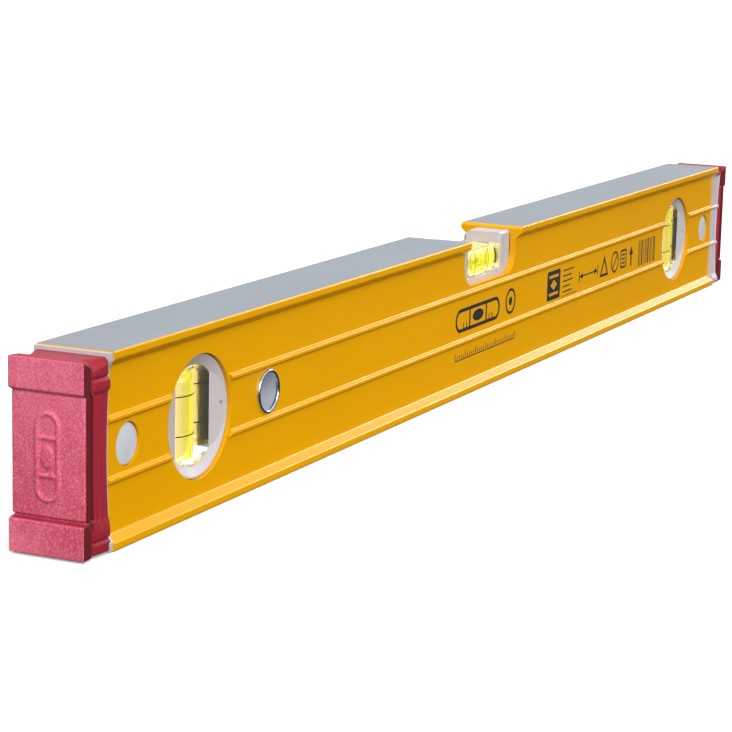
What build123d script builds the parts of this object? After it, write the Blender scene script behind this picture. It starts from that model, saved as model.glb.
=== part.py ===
from build123d import *
import os
from math import sqrt

# Spirit level: hollow aluminium box profile, three vials, two slide-off end caps.
# Frame: origin under the middle of the level, +X along its length, +Z up, -Y the front.
# All sizes are in millimetres.

# --- box profile ---
LENGTH = 610.0            # over both end caps
HEIGHT = 60.0             # between the two measuring faces
WIDTH = 27.0              # over the lips of the measuring faces
LIP_OVERHANG = 2.75       # how far a lip stands out from the side wall
LIP_NOSE = 2.5            # upright nose of a lip
LIP_ROOT = 4.8            # height at which the lip's slope meets the side wall
SIDE_WALL = 2.6
FACE_WALL = 2.2
CAVITY_CORNER = 1.5       # radius of the inside corners
RIB_SPACING = 18.4        # between the two ribs on each side wall
RIB_FOOT = 2.5            # rib height at the wall
RIB_CREST = 1.0           # rib height at its outer face
RIB_PROUD = 1.1
RIB_GAP = 1.1             # ribs stop this far short of a round window
CORNER_ROUND = 0.7        # outside corners of the measuring faces
NOSE_ROUND = 0.8
ROOT_ROUND = 0.9          # where a lip's slope meets the side wall
CREST_ROUND = 0.45
RIB_ROUND = 0.5           # where a rib meets the side wall

# --- openings in the profile ---
NOTCH_LENGTH = 52.0       # cut for the centre vial
NOTCH_FLOOR = 41.7        # height of the bottom of the cut
NOTCH_CORNER = 8.0
NOTCH_BEVEL = 1.0
PLUMB_WINDOW = 40.0       # diameter of the round windows
PLUMB_INSET = 71.4        # window centre from the end of the level
HANG_INSET = 116.4        # hanging hole from the left end of the level
HANG_BORE = 12.4
SLEEVE_WALL = 0.7
RIM_WIDTH = 1.3           # how far the sleeve's rim reaches past the bore
RIM_GAP = 0.1             # ribs are cut back this far from the rim
RIM_PROUD = 0.9
RIM_ROUND = 0.54
MOUTH_ROUND = 0.3
BUTTON_INSET = 27.7       # lock button centre from the end of the level
BUTTON_HOLE = 13.5

# --- end caps ---
BUMPER_DEPTH = 13.8       # rubber in front of the cap's flange
FLANGE = 2.0              # thickness of the plastic flange
CAP_SEAT = 0.05           # gap between flange and profile end
CAP_INSET = 0.8           # cap stays this far inside the measuring faces
CAP_HALF = 12.9           # half width of the rubber pads
FLANGE_INSET = 0.5        # flange edge inside the profile's lips
FLANGE_TOP = 0.35         # flange inside the measuring faces
FLANGE_PROUD = 1.0        # flange stands out this far from the side walls near the lips
FLANGE_EASE = 0.4         # clearance of its corners from the lips' slopes
FLANGE_WAIST = 0.75       # flange edge draws in by this much at mid height
PLUG_GAP = 2.0            # between the plug's tip and the plumb vial's housing
PLUG_WALL = 1.6
PLUG_PLAY = 0.3           # gap all round between plug and profile
PAD_HEIGHT = 10.2
PAD_BLOCK = 5.2           # depth of the square front block of a pad
PAD_NECK = 1.4            # length of the narrower neck behind the block
NECK_STEP = 1.3
NECK_EASE = 0.4           # the neck is this much lower than the pads
BUMPER_WAIST = 0.8        # sides between the pads draw in by this much at mid height
PAD_ROUND = 0.9
REAR_MARGIN = 0.5         # the pad's rear half is a little smaller
REAR_BEVEL = 1.2
REAR_SHOULDER = 2.4       # long bevel over the top of the pad's rear half
SPLIT_HALF = 0.55         # half height of the groove along a pad's side
SPLIT_DEPTH = 1.0
FACE_BEVEL = 0.6
FACE_RECESS = 1.0         # middle of the cap's face lies this far behind the pads
BELLOWS = 3               # upright grooves on each side of a cap
BELLOWS_PITCH = 2.8
BELLOWS_GROOVE = 1.2
BELLOWS_START = 1.0       # behind the pad's front block
BELLOWS_MARGIN = 0.8      # between a groove's end and the pad
BELLOWS_DEPTH = 1.1
PEG_RADIUS = 4.0          # pegs that hold the rubber on the flange
PEG_LENGTH = 7.0
PEG_SPACING = 34.0
EMBOSS = 0.5              # raised outline of a vial on the cap's face
EMBLEM_LENGTH = 27.0
EMBLEM_WIDTH = 8.4
EMBLEM_LINE = 1.2
EMBLEM_RING = 5.6         # from the middle to each of its two cross lines
EMBLEM_BUBBLE = (1.9, 3.4)

# --- lock buttons and latch spring ---
BUTTON_PLAY = 0.2         # radial gap between button and its holes
BUTTON_SUNK = 1.2         # button face behind the side wall's face
BUTTON_ROUND = 0.6
COLLAR_WIDTH = 1.4
COLLAR_THICK = 1.2
COLLAR_GAP = 0.05
SPRING_THICK = 0.5
SPRING_HEIGHT = 9.0
SPRING_REACH = 6.0        # arm length past the button centre

# --- vials ---
BLOCK_DEPTH = 16.0        # acrylic blocks, front to back
BLOCK_FIT = 0.1           # gap between a block and its housing
BORE_RADIUS = 5.1
BARREL = 0.25             # the bore narrows by this much towards its ends
BARREL_STEPS = 8
RING_SPACING = 12.7
RING_WIDTH = 0.35
RING_DEPTH = 0.15
PLUG_RADIUS = 3.0         # stopper in the filling hole
STOPPER_LENGTH = 1.4
BUBBLE_GAP = 0.25         # film of liquid between bubble and glass
BUBBLE_FILM = 0.05        # gap that keeps the liquid's solid off the bubble's

# --- plumb vial housings ---
HOUSING_PLAY = 0.3        # radial gap in the round window
HOUSING_SUNK = 1.3       # housing face behind the side wall's face
SILL_RADIUS = 16.3        # top and bottom of the housing's opening
SILL_HALF = 10.6          # half width of the housing's opening
RIM_LAND = 0.6            # flat rim round the sloping face
SILL_DEPTH = 1.6          # how deep the sloping face runs in
BLOCK_CREST = 16.1        # radius of the rounded top and bottom of the block
PLUMB_BORE = 28.6
PLUMB_BUBBLE = 3.4        # height of the air at the top of an upright bore
BUBBLE_TOP_ROUND = 1.1
BUBBLE_LOW_ROUND = 0.7
SHELL_SPLIT = 0.1         # gap between front and back shell
DIMPLE_RADIUS = 1.0       # ejector mark on the sloping face
DIMPLE_INSET = 3.35       # from the housing's rim
DIMPLE_LIFT = 1.0
DIMPLE_FLOOR = 1.9        # below the housing's face

# --- centre vial housing ---
SADDLE_PLAY = 0.4         # gap at each end of the notch
SADDLE_TOP = 58.4
SADDLE_FLOOR = 43.2       # height of the seat under the block
SADDLE_FOOT = 36.0
SADDLE_FIT = 0.1          # gap between the saddle and the side walls
CENTRE_BLOCK = 31.0
CENTRE_BLOCK_TOP = 54.2
CENTRE_BORE = 26.6
CENTRE_BORE_LIFT = 0.35
CENTRE_BUBBLE = 11.6
CENTRE_END_ROUND = 0.85   # of the bubble's radius
SADDLE_BEVEL = 0.8
SADDLE_CORNER = 2.4       # bevel along the back of its top
SHOULDER = 1.0            # the foot's top lies this far under the notch
FLARE_WIDE = 1.2          # the opening widens by this much at its face
FLARE_NARROW = 0.5        # and narrows by this much over the block's end
FLARE_DEEP = 1.7
CORE_ENDS = 4.0           # walls left round the hollow under the seat
CORE_SIDES = 2.5
CORE_ROOF = 2.2

# --- places worked out from the sizes above ---
MID = HEIGHT / 2
LIP_HALF = WIDTH / 2
WEB_HALF = LIP_HALF - LIP_OVERHANG
CAVITY_HALF = WEB_HALF - SIDE_WALL
END = LENGTH / 2
PROFILE_END = END - BUMPER_DEPTH - FLANGE - CAP_SEAT
PLUMB_X = END - PLUMB_INSET
HANG_X = -(END - HANG_INSET)
BUTTON_X = END - BUTTON_INSET
PLUG_HALF = CAVITY_HALF - PLUG_PLAY
PLUG_LOW = FACE_WALL + PLUG_PLAY
PLUG_TIP = -(PLUMB_X + PLUMB_WINDOW / 2 + PLUG_GAP)
SLEEVE_RADIUS = HANG_BORE / 2 + SLEEVE_WALL
RIM_RADIUS = HANG_BORE / 2 + RIM_WIDTH
BUTTON_RADIUS = BUTTON_HOLE / 2 - BUTTON_PLAY
HOUSING_RADIUS = PLUMB_WINDOW / 2 - HOUSING_PLAY
HOUSING_FACE = WEB_HALF - HOUSING_SUNK
SADDLE_HALF = CAVITY_HALF - SADDLE_FIT
CENTRE_Z = (SADDLE_FLOOR + BLOCK_FIT + CENTRE_BLOCK_TOP) / 2
OVER = 5.0                # extra length of cutting tools past what they cut


def slab(x, y, z):
    """Box between the given pairs of limits."""
    centre = Pos((x[0] + x[1]) / 2, (y[0] + y[1]) / 2, (z[0] + z[1]) / 2)
    return centre * Box(x[1] - x[0], y[1] - y[0], z[1] - z[0])


def rod_x(radius, x, y, z):
    """Cylinder along X between the two limits in x."""
    return Pos((x[0] + x[1]) / 2, y, z) * Rot(0, 90, 0) * Cylinder(radius, x[1] - x[0])


def rod_y(radius, x, y, z):
    """Cylinder along Y between the two limits in y."""
    return Pos(x, (y[0] + y[1]) / 2, z) * Rot(90, 0, 0) * Cylinder(radius, y[1] - y[0])


def rod_z(radius, x, y, z):
    """Cylinder along Z between the two limits in z."""
    return Pos(x, y, (z[0] + z[1]) / 2) * Cylinder(radius, z[1] - z[0])


def prism_x(face, x):
    """Face drawn as (y, z), carried along X between the two limits."""
    plane = Plane(origin=(x[0], 0, 0), x_dir=(0, 1, 0), z_dir=(1, 0, 0))
    return extrude(plane * face, amount=x[1] - x[0], dir=(1, 0, 0))


def prism_y(face, y):
    """Face drawn as (x, z), carried along Y between the two limits."""
    plane = Plane(origin=(0, y[1], 0), x_dir=(1, 0, 0), z_dir=(0, -1, 0))
    return extrude(plane * face, amount=y[1] - y[0], dir=(0, -1, 0))


def prism_z(face, z):
    """Face drawn as (x, y), carried along Z between the two limits."""
    return extrude(Plane.XY.offset(z[0]) * face, amount=z[1] - z[0], dir=(0, 0, 1))


def spun(points, centre, direction):
    """Outline of (radius, height) points, turned about an axis through centre."""
    turned = revolve(Plane.XZ * Polygon(*points, align=None), Axis.Z, 360)
    turn = {"X": Rot(0, 90, 0), "-X": Rot(0, -90, 0), "Y": Rot(-90, 0, 0),
            "-Y": Rot(90, 0, 0), "Z": Rot(0, 0, 0)}[direction]
    return Pos(*centre) * turn * turned


def write(name, shape):
    export_step(shape, f"parts/{name}.step")


# --- box profile ---

def section_face():
    """Outer outline of the profile: two lipped faces joined by ribbed walls."""
    right = [(LIP_HALF, 0), (LIP_HALF, LIP_NOSE), (WEB_HALF, LIP_ROOT)]
    for rib in (MID - RIB_SPACING / 2, MID + RIB_SPACING / 2):
        right += [(WEB_HALF, rib - RIB_FOOT / 2), (WEB_HALF + RIB_PROUD, rib - RIB_CREST / 2),
                  (WEB_HALF + RIB_PROUD, rib + RIB_CREST / 2), (WEB_HALF, rib + RIB_FOOT / 2)]
    right += [(WEB_HALF, HEIGHT - LIP_ROOT), (LIP_HALF, HEIGHT - LIP_NOSE), (LIP_HALF, HEIGHT)]
    left = [(-y, z) for y, z in reversed(right)]
    face = Polygon(*right, *left, align=None)

    def rounded(face, radius, reach, low, high):
        """Round the corners that lie at this reach and between these heights."""
        def chosen(corner):
            height = min(corner.Y, HEIGHT - corner.Y)
            return abs(abs(corner.X) - reach) < 0.01 and low <= height <= high
        return fillet(face.vertices().filter_by(chosen), radius)

    face = rounded(face, CORNER_ROUND, LIP_HALF, 0, 0.1)
    face = rounded(face, NOSE_ROUND, LIP_HALF, LIP_NOSE - 0.1, LIP_NOSE + 0.1)
    face = rounded(face, ROOT_ROUND, WEB_HALF, LIP_ROOT - 0.1, LIP_ROOT + 0.1)
    face = rounded(face, CREST_ROUND, WEB_HALF + RIB_PROUD, LIP_ROOT, MID)
    return rounded(face, RIB_ROUND, WEB_HALF, LIP_ROOT + 1, MID)


def box_profile():
    """The extrusion, with its cavity and every opening cut through it."""
    along = (-PROFILE_END, PROFILE_END)
    through = (-WIDTH, WIDTH)
    body = prism_x(section_face(), along)
    cavity = RectangleRounded(2 * CAVITY_HALF, HEIGHT - 2 * FACE_WALL, CAVITY_CORNER)
    body -= prism_x(Pos(0, MID) * cavity, (along[0] - OVER, along[1] + OVER))
    for side in (-1, 1):
        body -= rod_y(PLUMB_WINDOW / 2, side * PLUMB_X, through, MID)
        body -= rod_y(BUTTON_HOLE / 2, side * BUTTON_X, through, MID)
    for outer in ((-WIDTH, -WEB_HALF), (WEB_HALF, WIDTH)):
        body -= rod_y(RIM_RADIUS + RIM_GAP, HANG_X, outer, MID)
        for side in (-1, 1):
            body -= rod_y(PLUMB_WINDOW / 2 + RIB_GAP, side * PLUMB_X, outer, MID)
    body -= rod_y(SLEEVE_RADIUS, HANG_X, through, MID)
    notch = RectangleRounded(NOTCH_LENGTH, 2 * (HEIGHT - NOTCH_FLOOR), NOTCH_CORNER)
    body -= prism_y(Pos(0, HEIGHT) * notch, through)
    edge = NOTCH_LENGTH / 2
    for side in (-1, 1):
        bevel = Polygon((side * edge, HEIGHT), (side * (edge + NOTCH_BEVEL), HEIGHT),
                        (side * edge, HEIGHT - NOTCH_BEVEL), align=None)
        body -= prism_y(bevel, through)
    return body


def hanging_grommet():
    """Steel sleeve with a rolled rim in front, and the collar that clamps it behind."""
    back = WEB_HALF + RIM_PROUD
    sleeve = rod_y(SLEEVE_RADIUS, HANG_X, (-WEB_HALF, back), MID)
    rim = rod_y(RIM_RADIUS, HANG_X, (-WEB_HALF - RIM_PROUD, -WEB_HALF), MID)
    front_edge = rim.edges().group_by(Axis.Y)[0]
    rim = fillet(front_edge, RIM_ROUND)
    sleeve = sleeve + rim
    sleeve -= rod_y(HANG_BORE / 2, HANG_X, (-WIDTH, WIDTH), MID)
    mouth = sleeve.edges().filter_by(GeomType.CIRCLE).group_by(Axis.Y)[0]
    mouth = mouth.sort_by(lambda edge: edge.radius)[0:1]
    sleeve = fillet(mouth, MOUTH_ROUND)
    collar = rod_y(RIM_RADIUS, HANG_X, (WEB_HALF, back), MID)
    collar = fillet(collar.edges().group_by(Axis.Y)[-1], RIM_ROUND)
    collar -= rod_y(SLEEVE_RADIUS, HANG_X, (-WIDTH, WIDTH), MID)
    return {"hanging_sleeve": sleeve, "hanging_collar": collar}


# --- vials ---

def barrel_points(length, radius, waist, ends):
    """Half outline of a barrel: full radius at mid length, less waist at the ends."""
    points = [(0, -length / 2)]
    for step in range(BARREL_STEPS + 1):
        along = -1 + 2 * step / BARREL_STEPS
        points.append((radius - waist * along * along, along * length / 2))
    points.append((0, length / 2))
    return points if ends else points[1:-1]


def vial_parts(centre, length, direction, block, bubble, pocket):
    """Block with its barrel bore, liquid, two ring lines and stopper about one centre.

    The bubble's solid is given; pocket is the same shape with the liquid film added."""
    bore = spun(barrel_points(length, BORE_RADIUS, BARREL, True), centre, direction)
    tip = centre[2] + length / 2 if direction == "Z" else centre[0] + length / 2
    if direction == "Z":
        hole = rod_z(PLUG_RADIUS, centre[0], centre[1], (tip - 0.2, tip + OVER))
        stopper = rod_z(PLUG_RADIUS, centre[0], centre[1], (tip, tip + STOPPER_LENGTH))
    else:
        hole = rod_x(PLUG_RADIUS, (tip - 0.2, tip + OVER), centre[1], centre[2])
        stopper = rod_x(PLUG_RADIUS, (tip, tip + STOPPER_LENGTH), centre[1], centre[2])
    rings = []
    for side in (-1, 1):
        place = [centre[0], centre[1], centre[2]]
        place["XYZ".index(direction)] += side * RING_SPACING / 2
        outer = BORE_RADIUS + RING_DEPTH
        band = [(BORE_RADIUS, -RING_WIDTH / 2), (outer, -RING_WIDTH / 2),
                (outer, RING_WIDTH / 2), (BORE_RADIUS, RING_WIDTH / 2)]
        rings.append(spun(band, place, direction))
    block = block - bore - hole
    for ring in rings:
        block -= ring
    return {"block": block, "fluid": bore - pocket, "rings": Compound(children=rings),
            "plug": stopper, "bubble": bubble}


def plumb_block(x):
    """Upright acrylic block: straight sides, rounded top and bottom."""
    half = SILL_HALF - BLOCK_FIT
    face = Circle(BLOCK_CREST) & Rectangle(2 * half, 4 * BLOCK_CREST)
    return prism_y(Pos(x, MID) * face, (-BLOCK_DEPTH / 2, BLOCK_DEPTH / 2))


def plumb_bubble(x, film):
    """Flat dome of air that rests at the top of an upright bore."""
    top = MID + PLUMB_BORE / 2 - BUBBLE_GAP + film
    low = top - PLUMB_BUBBLE - 2 * film
    radius = BORE_RADIUS - BARREL - BUBBLE_GAP + film
    dome = rod_z(radius, x, 0, (low, top))
    dome = fillet(dome.edges().group_by(Axis.Z)[-1], BUBBLE_TOP_ROUND)
    return fillet(dome.edges().group_by(Axis.Z)[0], BUBBLE_LOW_ROUND)


def plumb_housings(x):
    """Front and back shells that fill a round window and clasp the block."""
    mouth = Circle(SILL_RADIUS) & Rectangle(2 * SILL_HALF, 4 * SILL_RADIUS)
    inner = HOUSING_FACE - SILL_DEPTH
    wide = HOUSING_RADIUS - RIM_LAND
    shells = {}
    for name, side in (("front", -1), ("back", 1)):
        limits = sorted((side * SHELL_SPLIT / 2, side * HOUSING_FACE))
        shell = rod_y(HOUSING_RADIUS, x, limits, MID)
        shell -= prism_y(Pos(x, MID) * mouth, (limits[0] - OVER, limits[1] + OVER))
        cone = [(0, inner), (SILL_RADIUS, inner), (wide, HOUSING_FACE), (0, HOUSING_FACE)]
        cone = spun(cone, (x, 0, MID), "Y" if side > 0 else "-Y")
        slope = Polygon((x - SILL_HALF, side * inner), (x + SILL_HALF, side * inner),
                        (x + wide, side * HOUSING_FACE), (x - wide, side * HOUSING_FACE),
                        align=None)
        shell -= cone & prism_z(slope, (0, HEIGHT))
        depth = sorted((side * (HOUSING_FACE - DIMPLE_FLOOR), side * WIDTH))
        shell -= rod_y(DIMPLE_RADIUS, x + HOUSING_RADIUS - DIMPLE_INSET, depth, MID + DIMPLE_LIFT)
        shells[name] = shell
    return shells


def centre_saddle():
    """White carrier of the centre vial, open at the top, front and back."""
    long = NOTCH_LENGTH / 2 - SADDLE_PLAY
    foot = slab((-long, long), (-SADDLE_HALF, SADDLE_HALF),
                (SADDLE_FOOT, NOTCH_FLOOR - SHOULDER))
    body = slab((-long, long), (-SADDLE_HALF, SADDLE_HALF), (NOTCH_FLOOR - SHOULDER, SADDLE_TOP))
    back_edge = body.edges().filter_by(Axis.X).group_by(Axis.Z)[-1].sort_by(Axis.Y)[-1]
    body = chamfer(back_edge, SADDLE_CORNER)
    front_edge = body.edges().filter_by(Axis.X).group_by(Axis.Z)[-1].sort_by(Axis.Y)[0]
    body = chamfer(front_edge, SADDLE_BEVEL)
    half = CENTRE_BLOCK / 2 + BLOCK_FIT
    saddle = foot + body
    saddle -= slab((-half, half), (-WIDTH, WIDTH), (SADDLE_FLOOR, HEIGHT))
    wide, narrow, deep = half + FLARE_WIDE, half - FLARE_NARROW, SADDLE_HALF - FLARE_DEEP
    flare = [(-wide, SADDLE_HALF), (wide, SADDLE_HALF), (narrow, deep), (-narrow, deep)]
    for side in (-1, 1):
        outline = Polygon(*[(x, side * y) for x, y in flare], align=None)
        saddle -= prism_z(outline, (SADDLE_FLOOR, HEIGHT))
    inside = SADDLE_HALF - CORE_SIDES
    hollow = slab((-long + CORE_ENDS, long - CORE_ENDS), (-inside, inside),
                  (SADDLE_FOOT - OVER, SADDLE_FLOOR - CORE_ROOF))
    return saddle - hollow


def centre_bubble(film):
    """Long round-ended air bubble that lies against the top of the centre bore."""
    radius = BORE_RADIUS - BARREL - BUBBLE_GAP - 2 * CENTRE_BORE_LIFT + film
    length = CENTRE_BUBBLE + 2 * film
    middle = CENTRE_Z + CENTRE_BORE_LIFT
    body = rod_x(radius, (-length / 2, length / 2), 0, middle)
    return fillet(body.edges().filter_by(GeomType.CIRCLE), radius * CENTRE_END_ROUND)


def centre_vial():
    """The saddle and its vial."""
    half = CENTRE_BLOCK / 2
    block = slab((-half, half), (-BLOCK_DEPTH / 2, BLOCK_DEPTH / 2),
                 (SADDLE_FLOOR + BLOCK_FIT, CENTRE_BLOCK_TOP))
    made = vial_parts((0, 0, CENTRE_Z), CENTRE_BORE, "X", block,
                      centre_bubble(0), centre_bubble(BUBBLE_FILM))
    parts = {f"centre_vial_{key}": shape for key, shape in made.items() if key != "bubble"}
    parts["centre_bubble"] = made["bubble"]
    parts["centre_vial_housing"] = centre_saddle()
    return parts


def plumb_unit(name, x):
    """One round window's two housing shells and its upright vial."""
    made = vial_parts((x, 0, MID), PLUMB_BORE, "Z", plumb_block(x),
                      plumb_bubble(x, 0), plumb_bubble(x, BUBBLE_FILM))
    parts = {f"{name}_vial_{key}": shape for key, shape in made.items() if key != "bubble"}
    parts[f"{name}_bubble"] = made["bubble"]
    for side, shell in plumb_housings(x).items():
        parts[f"{name}_{side}_housing"] = shell
    return parts


# --- end caps, drawn for the left end ---

def waist(half, deep, tall):
    """Two large discs, drawn as (y, z), that draw a pair of sides in by deep at mid height."""
    radius = (tall * tall / 4 + deep * deep) / (2 * deep)
    place = half - deep + radius
    discs = Pos(-place, MID) * Circle(radius) + Pos(place, MID) * Circle(radius)
    return discs & Pos(0, MID) * Rectangle(4 * place, tall)


def cap_core():
    """Plastic flange with a hollow plug that slides into the profile."""
    seat = -PROFILE_END - CAP_SEAT
    outer = seat - FLANGE
    edge = LIP_HALF - FLANGE_INSET
    side_edge = WEB_HALF + FLANGE_PROUD
    nose, root = LIP_NOSE + FLANGE_EASE, LIP_ROOT + FLANGE_EASE
    rim = [(edge, FLANGE_TOP), (edge, nose), (side_edge, root), (side_edge, HEIGHT - root),
           (edge, HEIGHT - nose), (edge, HEIGHT - FLANGE_TOP)]
    face = Polygon(*rim, *[(-y, z) for y, z in reversed(rim)], align=None)
    face -= waist(side_edge, FLANGE_WAIST, HEIGHT - 2 * root)
    core = prism_x(face, (outer, seat))
    tall = HEIGHT - 2 * PLUG_LOW
    shell = Pos(0, MID) * RectangleRounded(2 * PLUG_HALF, tall, CAVITY_CORNER)
    room = Pos(0, MID) * Rectangle(2 * (PLUG_HALF - PLUG_WALL), tall - 2 * PLUG_WALL)
    core += prism_x(shell, (seat, PLUG_TIP)) - prism_x(room, (seat, PLUG_TIP + OVER))
    core -= rod_y(BUTTON_HOLE / 2, -BUTTON_X, (-WIDTH, WIDTH), MID)
    for side in (-1, 1):
        core += rod_x(PEG_RADIUS, (outer - PEG_LENGTH, outer), 0, MID + side * PEG_SPACING / 2)
    return core


def cap_bumper():
    """Rubber block: two square pads, a recessed face between them, grooved sides."""
    front = -END
    back = -PROFILE_END - CAP_SEAT - FLANGE
    low, high = CAP_INSET, HEIGHT - CAP_INSET
    inner = CAP_HALF - NECK_STEP
    body = slab((front + FACE_RECESS, back), (-inner, inner), (low + NECK_EASE, high - NECK_EASE))
    wide = CAP_HALF - REAR_MARGIN
    middle = slab((front + FACE_RECESS, back), (-wide, wide), (low + PAD_HEIGHT, high - PAD_HEIGHT))
    middle = chamfer(middle.edges().filter_by(Axis.Z).group_by(Axis.X)[0], FACE_BEVEL)
    middle -= prism_x(waist(wide, BUMPER_WAIST, high - low - 2 * PAD_HEIGHT), (front, back))
    body += middle
    start = front + PAD_BLOCK
    ends = PAD_HEIGHT + BELLOWS_MARGIN
    for groove in range(BELLOWS):
        x = start + BELLOWS_START + groove * BELLOWS_PITCH
        for side in (-1, 1):
            cut = sorted((side * (wide - BELLOWS_DEPTH), side * WIDTH))
            body -= slab((x, x + BELLOWS_GROOVE), cut, (low + ends, high - ends))
    shoulder = start + PAD_NECK
    for base in (low, high - PAD_HEIGHT):
        pad = slab((front, start), (-CAP_HALF, CAP_HALF), (base, base + PAD_HEIGHT))
        pad = fillet(pad.edges().group_by(Axis.X)[0], PAD_ROUND)
        rear = slab((shoulder, back), (-CAP_HALF, CAP_HALF),
                    (base + REAR_MARGIN, base + PAD_HEIGHT - REAR_MARGIN))
        rear = chamfer(rear.edges().filter_by(Axis.X).group_by(Axis.Z)[-1], REAR_SHOULDER)
        rear = chamfer(rear.edges().filter_by(Axis.Z).group_by(Axis.X)[0], REAR_BEVEL)
        split = base + (PAD_HEIGHT - REAR_SHOULDER) / 2
        for side in (-1, 1):
            rear -= slab((front, back), sorted((side * (CAP_HALF - SPLIT_DEPTH), side * WIDTH)),
                         (split - SPLIT_HALF, split + SPLIT_HALF))
        body += pad + rear
    for side in (-1, 1):
        body -= rod_x(PEG_RADIUS + BLOCK_FIT, (back - PEG_LENGTH - BLOCK_FIT, back + OVER), 0,
                      MID + side * PEG_SPACING / 2)
    return body + cap_emblem(front + FACE_RECESS)


def cap_emblem(face_x):
    """Raised outline of a vial with two lines and a bubble, standing upright."""
    room = EMBLEM_WIDTH - 2 * EMBLEM_LINE
    mark = SlotOverall(EMBLEM_LENGTH, EMBLEM_WIDTH, rotation=90)
    mark -= SlotOverall(EMBLEM_LENGTH - 2 * EMBLEM_LINE, room, rotation=90)
    for side in (-1, 1):
        mark += Pos(0, side * EMBLEM_RING) * Rectangle(room + EMBLEM_LINE, EMBLEM_LINE)
    mark += Ellipse(*EMBLEM_BUBBLE)
    return prism_x(Pos(0, MID) * mark, (face_x - EMBOSS, face_x + EMBOSS))


def latch_spring():
    """Strip of spring steel bent to a U, pressing both lock buttons outwards."""
    base = -PROFILE_END - CAP_SEAT
    arm = spring_reach()
    tip = -BUTTON_X + SPRING_REACH
    outline = Polygon((base, -arm), (tip, -arm), (tip, -arm + SPRING_THICK),
                      (base + SPRING_THICK, -arm + SPRING_THICK),
                      (base + SPRING_THICK, arm - SPRING_THICK),
                      (tip, arm - SPRING_THICK), (tip, arm), (base, arm), align=None)
    return prism_z(outline, (MID - SPRING_HEIGHT / 2, MID + SPRING_HEIGHT / 2))


def spring_reach():
    """Outer face of the spring's arms, just inside the button collars."""
    return PLUG_HALF - PLUG_WALL - COLLAR_GAP - COLLAR_THICK - COLLAR_GAP


def lock_button(side):
    """Round button with a collar that keeps it inside the plug."""
    face = WEB_HALF - BUTTON_SUNK
    collar = PLUG_HALF - PLUG_WALL - COLLAR_GAP
    head = rod_y(BUTTON_RADIUS, -BUTTON_X, sorted((side * collar, side * face)), MID)
    front = head.edges().group_by(Axis.Y)[0 if side < 0 else -1]
    head = fillet(front, BUTTON_ROUND)
    rim = sorted((side * collar, side * (collar - COLLAR_THICK)))
    return head + rod_y(BUTTON_RADIUS + COLLAR_WIDTH, -BUTTON_X, rim, MID)


def end_cap():
    """All pieces of the left end cap."""
    return {"cap_core": cap_core(), "cap_bumper": cap_bumper(), "latch_spring": latch_spring(),
            "front_lock_button": lock_button(-1), "back_lock_button": lock_button(1)}


def main():
    os.makedirs("parts", exist_ok=True)
    pieces = {"box_profile": box_profile(), **hanging_grommet(), **centre_vial()}
    pieces.update(plumb_unit("left", -PLUMB_X))
    pieces.update(plumb_unit("right", PLUMB_X))
    for name, shape in end_cap().items():
        pieces[f"left_{name}"] = shape
        pieces[f"right_{name}"] = mirror(shape, about=Plane.YZ)
    for name, shape in pieces.items():
        write(name, shape)


main()
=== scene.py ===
import math

import bpy
import numpy as np
from mathutils import Matrix, Vector


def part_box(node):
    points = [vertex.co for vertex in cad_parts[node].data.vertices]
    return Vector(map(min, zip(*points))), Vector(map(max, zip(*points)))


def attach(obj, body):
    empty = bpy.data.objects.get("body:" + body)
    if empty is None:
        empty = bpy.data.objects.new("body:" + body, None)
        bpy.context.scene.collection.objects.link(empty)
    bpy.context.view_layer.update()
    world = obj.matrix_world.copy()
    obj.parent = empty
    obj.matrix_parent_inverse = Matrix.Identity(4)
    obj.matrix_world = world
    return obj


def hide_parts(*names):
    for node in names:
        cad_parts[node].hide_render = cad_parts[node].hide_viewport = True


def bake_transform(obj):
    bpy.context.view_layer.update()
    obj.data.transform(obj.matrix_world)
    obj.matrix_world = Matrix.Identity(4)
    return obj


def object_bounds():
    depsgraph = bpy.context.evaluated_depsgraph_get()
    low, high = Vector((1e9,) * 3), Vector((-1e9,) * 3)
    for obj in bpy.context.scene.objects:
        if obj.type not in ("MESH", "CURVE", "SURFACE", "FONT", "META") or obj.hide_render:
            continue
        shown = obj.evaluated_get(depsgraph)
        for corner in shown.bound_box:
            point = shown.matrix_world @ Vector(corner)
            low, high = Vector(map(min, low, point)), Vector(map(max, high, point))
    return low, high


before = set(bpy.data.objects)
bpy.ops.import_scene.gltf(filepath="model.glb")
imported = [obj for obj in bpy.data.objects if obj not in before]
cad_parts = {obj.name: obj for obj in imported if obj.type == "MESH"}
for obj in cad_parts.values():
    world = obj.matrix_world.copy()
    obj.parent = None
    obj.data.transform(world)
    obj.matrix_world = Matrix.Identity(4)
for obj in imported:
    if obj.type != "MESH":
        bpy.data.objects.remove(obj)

# A box-section spirit level on a pale floor. Lengths are in metres; MM turns millimetres into metres.
MM = 0.001
cad_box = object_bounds()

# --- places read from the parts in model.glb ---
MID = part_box("box_profile")[1].z / 2     # half height
END = cad_box[1].x                       # end face of the right cap
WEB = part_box("hanging_collar")[0].y      # outer face of the back wall; the front one is at -WEB
SLEEVE_LOW, SLEEVE_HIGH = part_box("hanging_sleeve")
HANG_X = (SLEEVE_LOW.x + SLEEVE_HIGH.x) / 2
BLOCK_LOW, BLOCK_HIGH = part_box("left_vial_block")
PLUMB_X = -(BLOCK_LOW.x + BLOCK_HIGH.x) / 2

# --- camera ---
CAMERA_PLACE = (-0.8746, -0.3700, 0.1917)
CAMERA_YAW = 25.27
CAMERA_PITCH = 11.15
CAMERA_ROLL = 1.28
CAMERA_LENS = 118.4

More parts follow.
